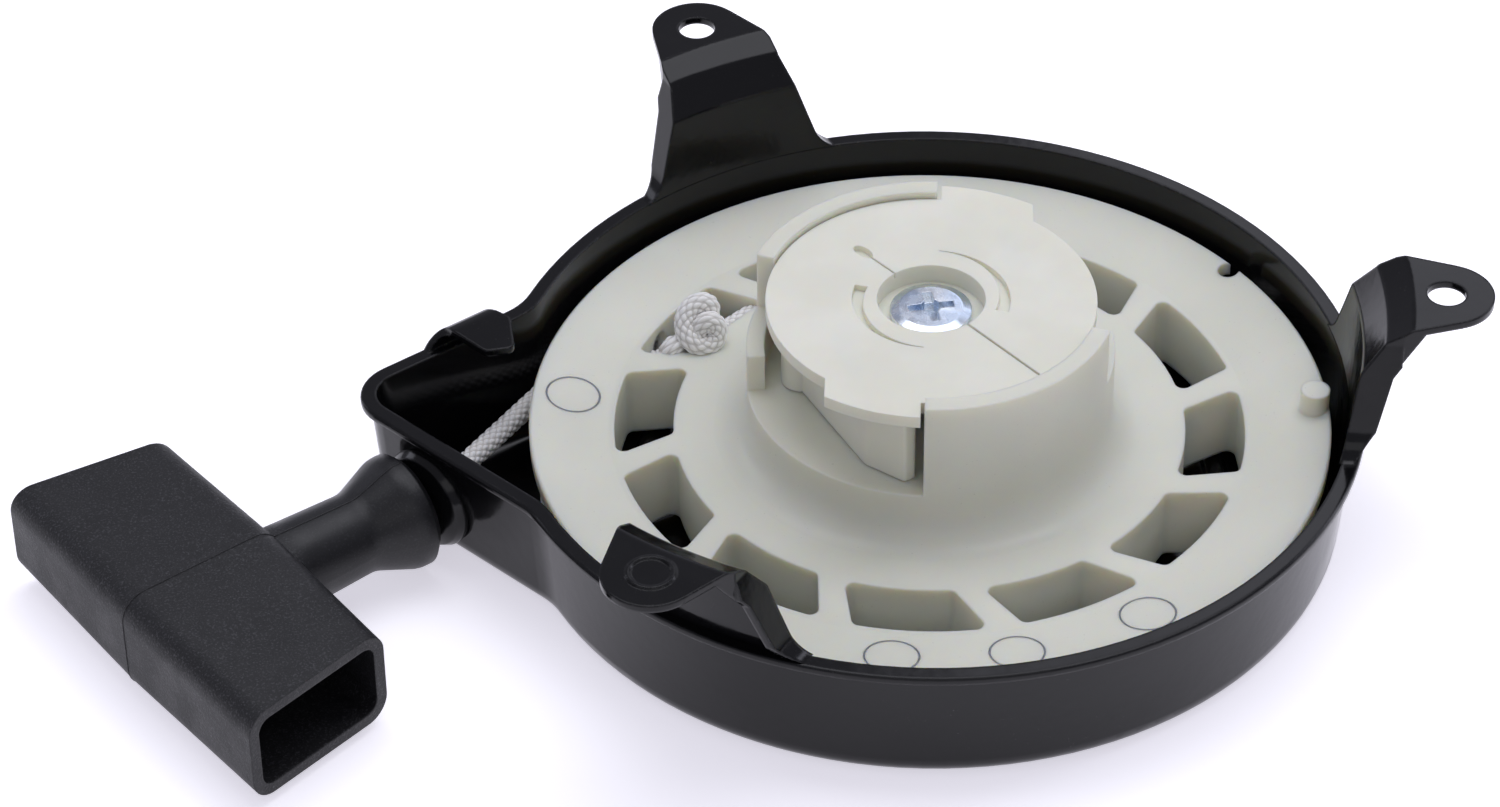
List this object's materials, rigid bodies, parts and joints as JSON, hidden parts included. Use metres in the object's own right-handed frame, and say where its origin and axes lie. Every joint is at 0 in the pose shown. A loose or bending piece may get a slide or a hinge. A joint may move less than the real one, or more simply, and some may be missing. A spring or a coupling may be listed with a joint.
{
  "type": "recoil starter",
  "caption": "Rope recoil starter for a small engine: pressed steel pan with mounting ears, nylon pulley with swing-out pawls, friction plate, rope and bar grip.",
  "frame": {"origin": "on the pulley's axis, at the housing's flat outer face, on which the part rests", "axes": "+Z along the pulley's axis from the housing's flat face to its open side; +X from the axis to the first mounting ear, which has a bolt hole"},
  "size_m": [0.2663, 0.1768, 0.0503],
  "materials": {
    "black_paint": "gloss",
    "plain_steel": "satin",
    "zinc_steel": "bright zinc",
    "spring_steel": "blued",
    "milky_nylon": "satin, slightly translucent",
    "cream_nylon": "satin, slightly translucent",
    "white_rope": "braided",
    "black_plastic": "fine spark texture"
  },
  "bodies": {
    "root": {"housing_pan": "black_paint", "ear_first": "black_paint", "ear_second": "black_paint", "ear_third": "black_paint", "rope_eyelet": "black_paint", "centre_post": "plain_steel", "thrust_washer": "plain_steel", "retaining_screw": "zinc_steel", "recoil_spring": "spring_steel", "rope_run": "white_rope"},
    "drum": {"pulley": "milky_nylon", "spring_keeper": "plain_steel", "brake_spring": "spring_steel", "rope_winding": "white_rope", "rope_last_turn": "white_rope", "rope_lead": "white_rope", "rope_knot": "white_rope", "rope_tail": "white_rope"},
    "friction_plate": {"friction_plate": "cream_nylon"},
    "pawl_front": {"pawl_front": "cream_nylon"},
    "pawl_back": {"pawl_back": "cream_nylon"},
    "grip": {"grip": "black_plastic", "rope_grip_end": "white_rope", "rope_grip_knot": "white_rope"}
  },
  "joints": [
    {"name": "pulley_spin", "type": "hinge", "parent": "root", "child": "drum", "pos_m": [0, 0, 0.02], "axis": [0, 0, 1], "range_deg": [0, 1260], "stiffness_Nm_per_rad": 0.02, "springref_deg": -343.77, "deforming": ["recoil_spring", "rope_run", "rope_last_turn"]},
    {"name": "grip_pull", "type": "slide", "parent": "root", "child": "grip", "axis": [-0.7604, -0.6494, 0], "range_m": [0, 1.44]},
    {"name": "friction_plate_turn", "type": "hinge", "parent": "drum", "child": "friction_plate", "pos_m": [0, 0, 0.045], "axis": [0, 0, 1], "range_deg": [-22, 0]},
    {"name": "pawl_front_swing", "type": "hinge", "parent": "drum", "child": "pawl_front", "pos_m": [-0.0233, -0.0012, 0.036], "axis": [0, 0, 1], "range_deg": [-22.5, 0.5]},
    {"name": "pawl_back_swing", "type": "hinge", "parent": "drum", "child": "pawl_back", "pos_m": [0.0233, 0.0012, 0.036], "axis": [0, 0, 1], "range_deg": [-22.5, 0.5]}
  ],
  "couplings": [
    {"joint": "grip_pull", "follows": "pulley_spin", "m_per_rad": 0.065},
    {"joint": "pawl_front_swing", "follows": "friction_plate_turn", "ratio": 1},
    {"joint": "pawl_back_swing", "follows": "friction_plate_turn", "ratio": 1}
  ]
}
